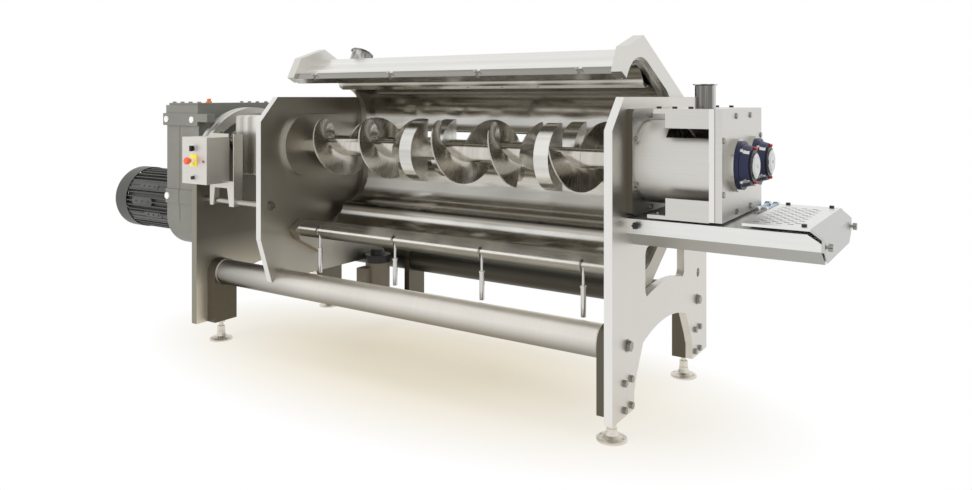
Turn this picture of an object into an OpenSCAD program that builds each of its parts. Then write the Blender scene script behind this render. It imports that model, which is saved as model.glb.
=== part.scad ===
// Twin shaft continuous mixer with a clamshell barrel, on a leg frame.
// The discharge end is +X, the operator's side is -Y, and the floor is z = 0.

/* [Frame] */
// Distance between the feet along the machine
foot_span = 2270; // [2100:5:2500]
// Distance between the feet across the machine
foot_gauge = 812; // [780:2:860]
// Width of the upright end plates
plate_w = 1088; // [1060:4:1160]
// Height of the barrel end plates above the floor
plate_top = 1300; // [1290:5:1380]
// Height of the drive leg plate above the floor
drive_top = 1035; // [960:5:1100]
// Thickness of the drive leg plate
drive_plate_t = 40; // [25:1:45]
// Thickness of the plate at the drive end of the barrel
barrel_plate_t = 33; // [20:1:45]
// Thickness of the leg plate at the discharge end
discharge_plate_t = 33; // [20:1:45]
// Clear length of the barrel between its end plates
barrel_len = 1828; // [1780:2:1900]
// Height of the frame tubes above the floor
tube_z = 367; // [340:1:390]
// Diameter of the frame tubes
tube_d = 129; // [100:1:139]
// Wall of the frame tubes
tube_wall = 6; // [3:1:12]
// Length of the leg blocks along the machine
block_l = 62; // [50:1:70]
// Width of the leg blocks across the machine
block_w = 140; // [120:1:150]
// Width of each leg of the end plates
leg_w = 204; // [180:2:230]
// Height of the arch between the legs
arch_z = 377; // [340:1:400]

/* [Feet] */
// Diameter of the foot pads
pad_d = 118; // [100:1:140]
// Height of the bell shaped pads
pad_h = 45; // [36:1:55]
// Diameter of the foot stems
stem_d = 24; // [16:1:30]
// Ground clearance under the leg blocks
leg_gap = 108; // [100:1:140]
// Diameter of the anchor holes in the pads
anchor_d = 9; // [6:0.5:11]
// Distance of the anchor holes from the middle of the pad
anchor_off = 46; // [44:1:48]

/* [Barrel] */
// Height of both mixing shafts above the floor
shaft_z = 1050; // [1040:1:1060]
// Position of the barrel's middle across the machine
barrel_y = -132; // [-140:1:-125]
// Distance between the two mixing shafts
shaft_gap = 230; // [224:1:236]
// Inner radius of each barrel lobe
bore_r = 150; // [148:0.5:156]
// Wall of the barrel liner
liner_t = 4; // [3:0.5:6]
// Wall of the heating jacket
jacket_t = 4; // [3:0.5:6]
// Length of the lid and trough end flanges along the machine
flange_t = 46; // [36:1:60]
// Gap between the end flanges and the end plates
end_gap = 2.5; // [1:0.5:5]
// Height of the lid flange above the shafts
lid_h = 237; // [225:1:245]
// Depth of the trough flange below the shafts
trough_h = 239; // [225:1:245]
// Height of the jacket's flat above or below the shafts
jacket_h = 186; // [176:1:196]
// Distance from the hinge to the middle of the barrel
hinge_off = 431; // [420:1:440]
// Diameter of the hinge rod
hinge_d = 40; // [25:1:50]
// Angle at which the lid stands open
lid_open = 27.2; // [20:0.1:32]
// Angle at which the trough hangs open
trough_open = 32.4; // [25:0.1:34]
// Length of the seal spigots on the end plates
spigot_l = 24; // [15:1:30]
// Wall of the seal spigots
spigot_t = 10; // [8:0.5:12]
// Diameter of the tube of the infeed ferrule on the lid
infeed_d = 101.6; // [76:0.1:104]

/* [Mixing shafts] */
// Diameter of the mixing shafts
shaft_d = 84; // [70:1:90]
// Radius of the flights and paddles
screw_r = 142; // [130:0.5:144]
// Pitch of the flights
pitch = 300; // [260:5:340]
// Thickness of the flights at the shaft
root_t = 35; // [20:1:38]
// Thickness of the flights at the rim
tip_t = 8; // [5:0.5:12]
// Width of each paddle's rim
paddle_w = 67; // [50:1:80]
// Length of the ramp in front of each paddle
ramp_l = 125; // [90:1:126]
// Radial clearance of the shafts in their seals and bearings
run_gap = 0.05; // [0.02:0.01:0.1]

/* [Discharge end] */
// Length of the discharge barrel up to its end plates
stub_l = 281; // [265:1:295]
// Wall of the discharge barrel
stub_t = 8; // [6:0.5:10]
// Depth of the square end plates across the machine
head_w = 543; // [520:1:560]
// Thickness of the mounting flange
mount_t = 26; // [16:1:36]
// Thickness of the inner end plate
head_in_t = 21; // [15:1:30]
// Thickness of the outer end plate
head_out_t = 26; // [15:1:40]
// Radius of the bearing housings
bearing_r = 89; // [80:1:95]
// Diameter of the vent tube
vent_d = 76.2; // [50:0.1:104]

/* [Tray] */
// Length of the discharge tray
tray_l = 681; // [660:1:720]
// Width of the discharge tray
tray_w = 557; // [540:1:580]
// Height of the tray's deck above the floor
deck_z = 845; // [840:1:850]
// Sheet thickness of the tray and its cover
sheet = 3; // [2:0.5:4]
// Rows of slots in the cover
slot_rows = 15; // [8:1:16]

/* [Drive] */
// Length of the gear unit along the machine
gear_l = 345; // [320:1:400]
// Width of the gear unit across the machine
gear_w = 536; // [500:2:560]
// Height of the gear unit's top above the floor
gear_top = 1266; // [1240:1:1290]
// Radius of the motor's cowl
motor_r = 187; // [175:1:195]
// Height of the motor's axis above the floor
motor_z = 667; // [650:1:680]
// Length of the motor without its cowl
motor_l = 545; // [480:1:620]
// Length of the motor's cowl
cowl_l = 115; // [90:1:130]
// Number of cooling fins around the motor
fins = 44; // [24:4:60]

/* [Control box] */
// Width of the control box
box_w = 192; // [170:1:196]
// Height of the control box
box_h = 234; // [220:1:250]
// Depth of the control box without its cover
box_d = 116; // [90:1:130]
// Diameter of the stop button's head
stop_d = 38; // [30:1:48]
// Diameter of the tie bars
tie_d = 32; // [24:1:36]

/* [Swing bolts] */
// Distance between a swing bolt's pivot and its collar
rod_l = 85; // [75:1:86]
// Length of a swing bolt's handle
handle_l = 116; // [90:1:117]
// Diameter of a swing bolt's handle
handle_d = 22; // [16:1:24]
// Diameter of a swing bolt's pivot pin
pivot_d = 10; // [6:0.5:12]

/* [Hidden] */
$fn = 64;
eps = 1;
foot_x = foot_span / 2;
foot_y = foot_gauge / 2;
half_w = plate_w / 2;
// Faces of the upright plates along the machine
drive_in = -foot_x - 22;
drive_out = drive_in - drive_plate_t;
dis_in = foot_x + 31;
dis_out = dis_in + discharge_plate_t;
bar_in = dis_in - barrel_len;
bar_out = bar_in - barrel_plate_t;
tube_x0 = drive_in + block_l;
tube_x1 = dis_in - block_l;
tube_r = tube_d / 2;
leg_in = half_w - leg_w;
// Places of the shafts, the hinge and the parting plane
front_y = barrel_y - shaft_gap / 2;
rear_y = barrel_y + shaft_gap / 2;
shaft_r = shaft_d / 2;
hinge_y = barrel_y + hinge_off;
part_gap = 0.4;
cusp_half = 14;
cusp_w = sqrt(bore_r * bore_r - pow(shaft_gap / 2 - cusp_half, 2));
spigot_r = bore_r + spigot_t;
flange_x0 = bar_in + end_gap;
flange_x1 = dis_in - end_gap;
shell_x0 = flange_x0 + flange_t;
shell_x1 = flange_x1 - flange_t;
rear_reach = 358;
knuckle_r = hinge_d / 2 + 25;
lap = 1.5;
// Front edges of the rails, from the barrel's middle
lid_rail = 313;
trough_rail = 338;
rail_back = 270;
lid_rail_h = 32;
trough_rail_h = 55;
jacket_half = 287;
// Swing bolts
bolt_gap = 486;
bolt_x = [for (i = [-1.5:1:1.5]) bar_in + barrel_len / 2 - 6 + i * bolt_gap];
pivot_v = 20 - trough_rail;
pivot_w = -22;
slot_w = 16;
collar_l = 8;
// Discharge end
stub_x0 = dis_out + mount_t;
head_x0 = stub_x0 + stub_l;
head_x1 = head_x0 + head_in_t + head_out_t;
head_y0 = barrel_y - head_w / 2;
head_y1 = barrel_y + head_w / 2;
head_top = shaft_z + 207;
head_bot = shaft_z - 195;
stub_r = bore_r + stub_t;
port_x0 = head_x0 - 170;
port_y1 = barrel_y + 60;
top_plate_t = 18;
bearing_x = head_x1 + 22;
shaft_end = bearing_x + 34;
vent_x = head_x0 - 58;
vent_y = barrel_y - 128;
vent_h = 91;
// Tray and cover
tray_x1 = dis_out + tray_l;
tray_y0 = -410;
tray_y1 = tray_y0 + tray_w;
skirt_h = 55;
tray_h = 107;
tray_in = 65;
cover_x0 = dis_out + 423;
cover_x1 = tray_x1 + 10;
cover_top = deck_z + 20;
cover_y1 = tray_y1 + 28;
// Drive
gear_x1 = drive_out - 73;
gear_x0 = gear_x1 - gear_l;
gear_y0 = barrel_y - gear_w / 2;
gear_y1 = barrel_y + gear_w / 2;
gear_face = gear_x1 - 62;
motor_x0 = gear_x0 - motor_l;
cowl_x0 = motor_x0 - cowl_l;
ring_z = 885;
// Middle of the girdle round the gear unit's lower bearings
girdle_z = 739;
ring_r = 355;
ring_in = 290;
// The housing between the drive and the barrel, from the shafts' height and middle
lantern_gap = 149;
lantern_x0 = drive_in + lantern_gap;
lantern_half = 280;
lantern_up = 152;
lantern_down = 160;
// Tie bars, control box and power pack
tie_edge = 59;
tie_y = half_w - tie_edge;
tie_z = 760;
web_y = -tie_y - 27;
box_x0 = drive_in + 28;
box_x1 = box_x0 + box_w;
box_z0 = 862;
cover_d = 22;
box_y0 = web_y - box_d;
panel_y = box_y0 - cover_d;
box_mid = box_x0 + 92;
start_z = box_z0 + 31;
stop_z = box_z0 + 118;
select_z = box_z0 + 179;
pack_x = bar_in + 82;
pack_y = 226;
pack_r = 73;
bracket_x = bar_in + 187;

steel = "gainsboro";
satin = "silver";
dark = "dimgray";

// An outline in the plane across the machine, extruded along it
module across(x0, x1) {
    translate([x0, 0, 0])
        rotate([90, 0, 90])
            linear_extrude(x1 - x0)
                children();
}

// An outline in the upright plane along the machine, extruded across it
module along(y0, y1) {
    translate([0, y1, 0])
        rotate([90, 0, 0])
            linear_extrude(y1 - y0)
                children();
}

// A round bar along the machine
module bar_x(x0, x1, y, z, r, r_end = -1) {
    translate([x0, y, z])
        rotate([0, 90, 0])
            cylinder(h = x1 - x0, r1 = r, r2 = r_end < 0 ? r : r_end);
}

// A round bar across the machine
module bar_y(x, y0, y1, z, r) {
    translate([x, y1, z])
        rotate([90, 0, 0])
            cylinder(h = y1 - y0, r = r);
}

// A hexagon head on a face that looks along +X
module hex_x(x, y, z, r, h) {
    translate([x, y, z])
        rotate([0, 90, 0])
            cylinder(h = h, r = r, $fn = 6);
}

// A block from its lowest to its highest corner
module block(a, b) {
    translate(a)
        cube(b - a);
}

// A plate outline with rounded corners
module rounded(a, b, r) {
    for (y = [a[0] + r, b[0] - r])
        for (z = [a[1] + r, b[1] - r])
            translate([y, z])
                circle(r);
    translate([a[0] + r, a[1]])
        square([b[0] - a[0] - 2 * r, b[1] - a[1]]);
    translate([a[0], a[1] + r])
        square([b[0] - a[0], b[1] - a[1] - 2 * r]);
}

// The twin lobed outline with straight top and bottom
module stadium(r) {
    translate([front_y, shaft_z])
        circle(r);
    translate([rear_y, shaft_z])
        circle(r);
    translate([front_y, shaft_z - r])
        square([shaft_gap, 2 * r]);
}

// Two round bars on the shaft centres
module shaft_holes(x0, x1, r) {
    for (y = [front_y, rear_y])
        bar_x(x0, x1, y, shaft_z, r);
}

/* Frame */

arch_half = leg_in - 89;
arch_rise = 40;
arch_r = (arch_half * arch_half + arch_rise * arch_rise) / (2 * arch_rise);

// The opening between the legs of an end plate
module arch_opening() {
    shoulder = arch_z - arch_rise;
    over = 20;
    top_half = arch_half - (arch_rise + over) * (leg_in - 22 - arch_half) / (shoulder - 227);
    intersection() {
        polygon([
            [-leg_in, leg_gap - eps], [-leg_in, 175], [22 - leg_in, 227],
            [-top_half, arch_z + over], [top_half, arch_z + over],
            [leg_in - 22, 227], [leg_in, 175], [leg_in, leg_gap - eps]
        ]);
        translate([0, arch_z - arch_r])
            circle(arch_r);
    }
}

module drive_leg_plate() {
    color(satin)
        difference() {
            across(drive_out, drive_in)
                difference() {
                    translate([-half_w, leg_gap])
                        square([plate_w, drive_top - leg_gap]);
                    arch_opening();
                    translate([barrel_y, shaft_z])
                        circle(200);
                }
            for (y = [-tie_y, tie_y])
                bar_x(drive_out - eps, drive_in + eps, y, tie_z, tie_d / 2 + 0.2);
        }
}

// Half of the lower outline of the barrel plate, on the operator's side
module barrel_plate_outline() {
    polygon([
        [-half_w - 1, 600], [-half_w - 1, plate_top - 122],
        [108 - half_w, plate_top], [half_w - 108, plate_top],
        [half_w + 1, plate_top - 122], [half_w + 1, 600],
        [foot_y + 69, tube_z + 11], [-foot_y - 69, tube_z + 11]
    ]);
}

module barrel_plate() {
    color(satin)
        difference() {
            across(bar_out, bar_in)
                barrel_plate_outline();
            for (y = [-foot_y, foot_y])
                bar_x(bar_out - eps, bar_in + eps, y, tube_z, tube_r + 0.2);
            for (y = [-tie_y, tie_y])
                bar_x(bar_out - eps, bar_in + eps, y, tie_z, tie_d / 2 + 0.2);
            shaft_holes(bar_out - eps, bar_in + eps, shaft_r + 8);
        }
}

// The window under the tray, its sill runs parallel to the arch
module plate_window() {
    difference() {
        rounded([-228, 506], [228, 706], 35);
        translate([0, arch_z - arch_r])
            circle(arch_r + 156, $fn = 256);
    }
}

module discharge_plate() {
    color(satin)
        difference() {
            across(dis_in, dis_out)
                difference() {
                    polygon([
                        [-half_w, leg_gap], [-half_w, plate_top - 122],
                        [108 - half_w, plate_top], [half_w - 108, plate_top],
                        [half_w, plate_top - 122], [half_w, leg_gap]
                    ]);
                    arch_opening();
                    plate_window();
                    stadium(bore_r);
                }
            bar_x(dis_in - eps, dis_out + eps, 419, 488, 20);
        }
}

module leg_blocks() {
    color(satin)
        for (x = [drive_in, tube_x1])
            for (y = [-foot_y, foot_y])
                across(x, x + block_l) {
                    translate([y, tube_z])
                        circle(block_w / 2);
                    translate([y - block_w / 2, leg_gap])
                        square([block_w, tube_z - leg_gap]);
                }
}

// A hollow frame tube with a weld bead at each end
module frame_tube(y) {
    difference() {
        union() {
            bar_x(tube_x0, tube_x1, y, tube_z, tube_r);
            bar_x(tube_x0, tube_x0 + 6, y, tube_z, tube_r + 5, tube_r + 0.5);
            bar_x(tube_x1 - 6, tube_x1, y, tube_z, tube_r + 0.5, tube_r + 5);
        }
        bar_x(tube_x0 - eps, tube_x1 + eps, y, tube_z, tube_r - tube_wall);
    }
}

module front_tube() {
    color(steel)
        frame_tube(-foot_y);
}

module rear_tube() {
    color(steel)
        frame_tube(foot_y);
}

// Bars that tie the barrel plate to the drive leg plate
module tie_bars() {
    color(steel)
        for (y = [-tie_y, tie_y]) {
            bar_x(drive_out, bar_in, y, tie_z, tie_d / 2);
            bar_x(bar_in, bar_in + 4, y, tie_z, tie_d / 2 + 8);
            hex_x(bar_in + 4, y, tie_z, tie_d / 2 + 4, 12);
        }
}

module foot_pads() {
    stem_r = stem_d / 2;
    color(steel)
        for (x = [-foot_x, foot_x])
            for (y = [-foot_y, foot_y])
                translate([x, y, 0])
                    difference() {
                        rotate_extrude()
                            polygon([
                                [0, 0], [pad_d / 2, 0], [pad_d / 2, 7],
                                [pad_d / 2 - 4, 10], [40, 14],
                                [28, 22], [21, pad_h - 10], [20, pad_h],
                                [stem_r, pad_h], [stem_r, leg_gap - 13],
                                [stem_r + 10, leg_gap - 13],
                                [stem_r + 10, leg_gap], [0, leg_gap]
                            ]);
                        for (s = [-1, 1])
                            translate([s * anchor_off, 0, -eps])
                                cylinder(h = 30, r = anchor_d / 2);
                    }
}

module foot_nuts() {
    color(steel)
        for (x = [-foot_x, foot_x])
            for (y = [-foot_y, foot_y])
                translate([x, y, pad_h + 0.3])
                    difference() {
                        cylinder(h = 28, r = stem_d / 2 + 8, $fn = 6);
                        translate([0, 0, -eps])
                            cylinder(h = 30, r = stem_d / 2 + 0.1);
                    }
}

// Bolts through the legs and into the tube ends
module frame_bolts() {
    color(steel)
        for (y = [-foot_y, foot_y])
            for (x = [drive_out - 17, dis_out]) {
                bar_x(x == dis_out ? x : x + 14, x == dis_out ? x + 3 : x + 17, y, tube_z, 24);
                hex_x(x == dis_out ? x + 3 : x, y, tube_z, 20, 14);
                for (z = [leg_gap + 26, leg_gap + 126])
                    for (s = [-1, 1])
                        hex_x(x == dis_out ? x : x + 6, y + s * 31, z, 14, 11);
            }
}

// The plate that hangs the power pack from the rear tube
module tube_bracket() {
    color(satin) {
        difference() {
            across(bracket_x, bracket_x + 34) {
                translate([foot_y, tube_z])
                    circle(block_w / 2);
                translate([foot_y - block_w / 2, 150])
                    square([block_w, tube_z - 150]);
            }
            bar_x(bracket_x - eps, bracket_x + 35, foot_y, tube_z, tube_r + 0.2);
        }
        block([pack_x - pack_r, pack_y - 60, 150], [bracket_x, foot_y + 40, 160]);
    }
}

// The hydraulic power pack with its terminal box and filler cap
module power_pack() {
    cap_z = 370;
    color("darkkhaki") {
        translate([pack_x, pack_y, 160])
            cylinder(h = cap_z - 160, r = pack_r - 5);
        block([pack_x - 62, pack_y - pack_r - 34, 215], [pack_x + 6, pack_y - 40, 345]);
    }
    color("black") {
        translate([pack_x, pack_y, cap_z])
            cylinder(h = 30, r = pack_r - 3);
        translate([pack_x, pack_y, cap_z + 30])
            cylinder(h = 12, r = pack_r);
        translate([pack_x, pack_y, cap_z + 42])
            cylinder(h = 30, r1 = 42, r2 = 34);
    }
}

module hinge_rod() {
    color(steel)
        bar_x(bar_in, dis_in, hinge_y, shaft_z, hinge_d / 2);
}

/* Drive */

module gearbox_housing() {
    body_top = gear_top - 58;
    corner = 176;
    low = 448;
    seam_x = gear_x0 + 114;
    color(dark)
        difference() {
            union() {
                across(gear_x0, gear_face) {
                    translate([gear_y0, low + corner])
                        square([gear_w, body_top - low - corner]);
                    translate([gear_y0 + corner, low])
                        square([gear_w - 2 * corner, corner]);
                    for (y = [gear_y0 + corner, gear_y1 - corner])
                        translate([y, low + corner])
                            circle(corner);
                }
                // Top flange of the casting and its corner lugs
                block([gear_x0 - 24, gear_y0 - 10, body_top - 68], [gear_face, gear_y1 + 10, body_top]);
                for (y = [gear_y0 - 10, gear_y1 - 42])
                    block([gear_face - eps, y, body_top - 46], [gear_face + 84, y + 52, body_top - 2]);
                // Girdle round the lower bearings
                block([gear_x0 - 6, gear_y0 - 6, girdle_z - 40], [gear_face, gear_y1 + 6, girdle_z + 40]);
                // Neck that carries the ring
                bar_x(gear_face - eps, gear_x1, barrel_y, ring_z, ring_in - 20, ring_in + 20);
            }
            // Parting groove between the two castings
            difference() {
                block([seam_x, gear_y0 - 20, 440], [seam_x + 4, gear_y1 + 20, body_top - 68]);
                block([seam_x - eps, gear_y0 + 3, 430], [seam_x + 5, gear_y1 - 3, body_top]);
            }
            shaft_holes(gear_x1 - 60, gear_x1 + 60, shaft_r + run_gap);
            bar_x(gear_x0 - 7, gear_x0 + 60, barrel_y, motor_z, 24 + run_gap);
        }
}

module gearbox_cover() {
    z0 = gear_top - 58;
    color(dark) {
        block([gear_x0 - 4, gear_y0 - 4, z0], [gear_face - 4, gear_y1 + 4, gear_top - 12]);
        block([gear_x0 + 8, gear_y0 + 8, gear_top - 12], [gear_face - 16, gear_y1 - 8, gear_top]);
    }
}

// Plugs, the breather and the cover's screws
module gearbox_fittings() {
    plug_z = gear_top - 92;
    color("white") {
        bar_y(gear_x0 + 10, gear_y0 - 16, gear_y0 - 10, plug_z, 18);
        bar_y(gear_face - 46, gear_y0 - 16, gear_y0 - 10, plug_z, 18);
        bar_y(gear_x0 + 14, gear_y0 - 14, gear_y0 - 6, girdle_z, 19);
    }
    color("orangered")
        translate([gear_x0 + 151, barrel_y - 100, gear_top]) {
            cylinder(h = 10, r = 16, $fn = 6);
            translate([0, 0, 10])
                cylinder(h = 14, r = 11);
        }
    color("gray")
        for (x = [gear_x0 + 26, gear_x0 + 98, gear_x0 + 170, gear_face - 36])
            for (y = [gear_y0 + 30, gear_y1 - 30])
                translate([x, y, gear_top])
                    cylinder(h = 8, r = 11, $fn = 6);
}

module adaptor_ring() {
    color(steel)
        difference() {
            translate([gear_x1, barrel_y, ring_z])
                rotate([90, 0, 90])
                    rotate_extrude()
                        polygon([
                            [ring_in, 0], [ring_r, 0], [ring_r, 24], [ring_r - 12, 28],
                            [ring_r - 12, 44], [ring_r, 48], [ring_r, 73],
                            [ring_r - 32, 73], [ring_r - 32, 50], [ring_in, 50]
                        ]);
        }
    color("gray")
        for (a = [15:30:345])
            translate([0, barrel_y + (ring_in + 16) * cos(a), ring_z + (ring_in + 16) * sin(a)])
                hex_x(gear_x1 + 50, 0, 0, 12, 12);
}

module motor_housing() {
    core_r = motor_r - 24;
    fin_r = motor_r - 4;
    color(dark)
        difference() {
            union() {
                across(motor_x0, gear_x0 - 40)
                    translate([barrel_y, motor_z]) {
                        circle(core_r);
                        for (i = [0:fins - 1])
                            rotate(i * 360 / fins)
                                translate([core_r - 4, -3])
                                    square([fin_r - core_r + 4, 6]);
                        // Smooth pads for the plate and for the feet
                        for (a = [148, 212, 268])
                            rotate(a)
                                translate([core_r - 10, -34])
                                    square([fin_r - core_r + 6, 68]);
                    }
                bar_x(gear_x0 - 44, gear_x0 - 24, barrel_y, motor_z, motor_r - 2);
                bar_x(gear_x0 - 24, gear_x0 - 6, barrel_y, motor_z, motor_r - 30);
            }
            bar_x(motor_x0 - eps, gear_x0, barrel_y, motor_z, 24 + run_gap);
        }
}

module motor_cowl() {
    color(dark)
        difference() {
            translate([cowl_x0, barrel_y, motor_z])
                rotate([90, 0, 90])
                    rotate_extrude()
                        polygon([
                            [0, 0], [motor_r - 22, 0], [motor_r - 8, 6], [motor_r, 22],
                            [motor_r, cowl_l + 14], [motor_r - 3, cowl_l + 14],
                            [motor_r - 3, 23], [motor_r - 10, 10], [motor_r - 23, 4], [0, 4]
                        ]);
            // Air slots in the end of the cowl
            for (r = [50, 80, 110, 140])
                for (i = [0:7])
                    translate([0, barrel_y, motor_z])
                        rotate([i * 45, 0, 0])
                            block([cowl_x0 - 2, r, -r * 0.33], [cowl_x0 + 6, r + 10, r * 0.33]);
        }
}

// Motor shaft with its fan
module motor_rotor() {
    color("gray") {
        bar_x(cowl_x0 + 14, gear_x0 + 40, barrel_y, motor_z, 24);
        difference() {
            bar_x(cowl_x0 + 30, motor_x0 - 8, barrel_y, motor_z, 40);
            bar_x(cowl_x0 + 20, motor_x0, barrel_y, motor_z, 23);
        }
        for (i = [0:6])
            translate([0, barrel_y, motor_z])
                rotate([i * 360 / 7, 0, 0])
                    block([cowl_x0 + 34, 36, -3], [motor_x0 - 12, motor_r - 36, 3]);
    }
}

// The housing between the drive and the barrel
module lantern_housing() {
    y0 = barrel_y - lantern_half;
    y1 = barrel_y + lantern_half;
    z0 = shaft_z - lantern_down;
    z1 = shaft_z + lantern_up;
    wall = 8;
    color(steel)
        difference() {
            across(lantern_x0, bar_out)
                rounded([y0, z0], [y1, z1], 14);
            across(lantern_x0 + wall, bar_out - wall)
                rounded([y0 + wall, z0 + wall], [y1 - wall, z1 - wall], 6);
            shaft_holes(lantern_x0 - eps, bar_out + eps, shaft_r + 10);
        }
    // Clamp ring in front of the barrel plate
    color(steel)
        across(bar_out - 40, bar_out - 14)
            difference() {
                rounded([y0 - 8, z0 - 8], [y1 + 8, z1 + 14], 30);
                rounded([y0 - 0.3, z0 - 0.3], [y1 + 0.3, z1 + 0.3], 14);
            }
}

/* Barrel ends and discharge */

// Closed spigot at the drive end and open spigot at the discharge end
module barrel_spigots() {
    color(steel) {
        difference() {
            across(bar_in, bar_in + spigot_l)
                stadium(spigot_r);
            shaft_holes(bar_in - eps, bar_in + spigot_l + eps, shaft_r + run_gap);
        }
        across(dis_in - spigot_l, dis_in)
            difference() {
                stadium(spigot_r);
                stadium(bore_r);
            }
    }
}

module discharge_flange() {
    color(steel) {
        across(dis_out, stub_x0)
            difference() {
                rounded([head_y0 - 16.5, head_bot], [head_y1 + 16.5, head_top], 30);
                stadium(bore_r);
            }
        for (s = [-1, 1])
            for (p = [[147, 95], [147, -95], [-8, 178], [-8, -178]])
                hex_x(stub_x0, barrel_y + s * (shaft_gap / 2 + p[0]), shaft_z + p[1], 9, 7);
    }
}

module discharge_barrel() {
    color(steel)
        difference() {
            union() {
                // Neck at the flange, then a weld bead and the shell
                across(stub_x0, stub_x0 + 11)
                    stadium(bore_r + stub_t / 2);
                across(stub_x0 + 10, stub_x0 + 13)
                    stadium(stub_r + 2);
                across(stub_x0 + 12, head_x0)
                    stadium(stub_r);
            }
            across(stub_x0 - eps, head_x0 + eps)
                stadium(bore_r);
            // Inspection port on the operator's side and outlet below
            block([port_x0, head_y0 - 10, shaft_z + 100], [head_x0 - 2, port_y1, head_top]);
            block([port_x0 + 14, front_y, head_bot - eps], [head_x0 - 6, rear_y, shaft_z - 100]);
        }
}

module discharge_end_plates() {
    split = head_x0 + head_in_t;
    color(steel)
        difference() {
            union() {
                block([head_x0, head_y0, head_bot], [split, head_y1, head_top]);
                block([split, head_y0, head_bot], [head_x1, head_y1, head_top]);
            }
            shaft_holes(head_x0 - eps, head_x1 + eps, shaft_r + 8);
            // Groove along the joint between the two plates
            difference() {
                block(
                    [split - 1, head_y0 - eps, head_bot - eps],
                    [split + 1, head_y1 + eps, head_top + eps]
                );
                block([split - 2, head_y0 + 2, head_bot + 2], [split + 2, head_y1 - 2, head_top - 2]);
            }
        }
    color("gray")
        for (p = [
            [-97, 180], [97, 180], [-256, 95], [-256, -96], [-97, -173],
            [97, -173], [256, 95], [256, -96]
        ])
            bar_x(head_x1, head_x1 + 5, barrel_y + p[0], shaft_z + p[1], 11);
}

// Top plate with its side webs and the vent ferrule
module discharge_top_plate() {
    z0 = head_top - top_plate_t;
    color(steel)
        difference() {
            union() {
                block([port_x0 - 36, head_y0, z0], [head_x0, head_y1, head_top]);
                for (y = [head_y0, head_y1 - 12])
                    block([port_x0 + 9, y, z0 - 53], [head_x0, y + 12, z0 + eps]);
                translate([vent_x, vent_y, head_top - eps])
                    cylinder(h = vent_h + eps, r = vent_d / 2);
                translate([vent_x, vent_y, head_top + vent_h - 3])
                    cylinder(h = 3, r = vent_d / 2 + 7.4);
                translate([vent_x, vent_y, head_top + vent_h - 6])
                    cylinder(h = 3, r1 = vent_d / 2, r2 = vent_d / 2 + 7.4);
            }
            translate([vent_x, vent_y, z0 - 2])
                cylinder(h = vent_h + 30, r = vent_d / 2 - 2.1);
        }
    color("gray")
        for (x = [port_x0 - 20, port_x0 + 40, port_x0 + 100])
            for (y = [head_y0 + 16, head_y1 - 16])
                translate([x, y, head_top])
                    cylinder(h = 8, r = 9);
}

// Outlet frame under the discharge barrel
module discharge_outlet() {
    color(steel)
        difference() {
            union() {
                block([port_x0 - 60, head_y0, head_bot - 3], [head_x0, head_y1, head_bot + 11]);
                for (y = [head_y0, head_y1 - 12])
                    block([port_x0 + 10, y, head_bot + 10], [head_x0, y + 12, head_bot + 75]);
            }
            block([port_x0 + 14, front_y, head_bot - 4], [head_x0 - 6, rear_y, head_bot + 12]);
        }
    color("gray")
        for (x = [port_x0 - 30, head_x0 - 24])
            for (y = [head_y0 + 30, head_y1 - 30])
                translate([x, y, head_bot + 11])
                    cylinder(h = 7, r = 8);
}

module bearing_adaptors() {
    color(steel)
        difference() {
            shaft_holes(head_x1, bearing_x, bearing_r + 9);
            shaft_holes(head_x1 - eps, bearing_x + eps, shaft_r + 8);
        }
}

module bearing_housings() {
    color("navy")
        difference() {
            union() {
                shaft_holes(bearing_x, bearing_x + 14, bearing_r);
                for (y = [front_y, rear_y])
                    bar_x(bearing_x + 14, bearing_x + 44, y, shaft_z, bearing_r - 10, bearing_r - 18);
            }
            shaft_holes(bearing_x - eps, shaft_end + 2, shaft_r + run_gap);
        }
    color("navy")
        for (y = [front_y, rear_y])
            for (a = [45:90:315])
                bar_x(bearing_x + 14, bearing_x + 24, y + 79 * cos(a), shaft_z + 79 * sin(a), 8.5);
}

module bearing_rings() {
    color("black")
        difference() {
            shaft_holes(bearing_x + 44, bearing_x + 51, 58);
            shaft_holes(bearing_x + 43, bearing_x + 52, 44.2);
        }
}

module bearing_covers() {
    color("white")
        for (y = [front_y, rear_y]) {
            bar_x(bearing_x + 44, bearing_x + 56, y, shaft_z, 44);
            bar_x(bearing_x + 56, bearing_x + 61, y, shaft_z, 44, 36);
        }
}

/* Tray */

// Cross-section of the tray, drawn in by a margin
module tray_section(m) {
    polygon([
        [tray_y0 + m, deck_z - m], [tray_y0 + m, deck_z - skirt_h + m * 0.4],
        [tray_y0 + tray_in + m * 0.4, deck_z - tray_h + m],
        [tray_y1 - tray_in - m * 0.4, deck_z - tray_h + m],
        [tray_y1 - m, deck_z - skirt_h + m * 0.4], [tray_y1 - m, deck_z - m]
    ]);
}

module tray() {
    color(steel)
        difference() {
            across(dis_out, tray_x1)
                tray_section(0);
            across(dis_out + sheet, tray_x1 - sheet)
                tray_section(sheet);
            // Outlet opening and the well under the cover
            block([port_x0 + 14, front_y, deck_z - 9], [head_x0 - 6, rear_y, deck_z + eps]);
            block([cover_x0 + 24, tray_y0 + 60, deck_z - 9], [tray_x1 - 60, tray_y1 - 60, deck_z + eps]);
            block([cover_x0 + 20, tray_y0 + 30, deck_z - 9], [tray_x1 - 70, tray_y1 - 30, deck_z + eps]);
            // Slanted corner at the far end
            translate([tray_x1 - 45, 0, deck_z])
                rotate([0, 32, 0])
                    block([0, tray_y0 - eps, 0], [90, tray_y1 + eps, 40]);
        }
}

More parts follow.
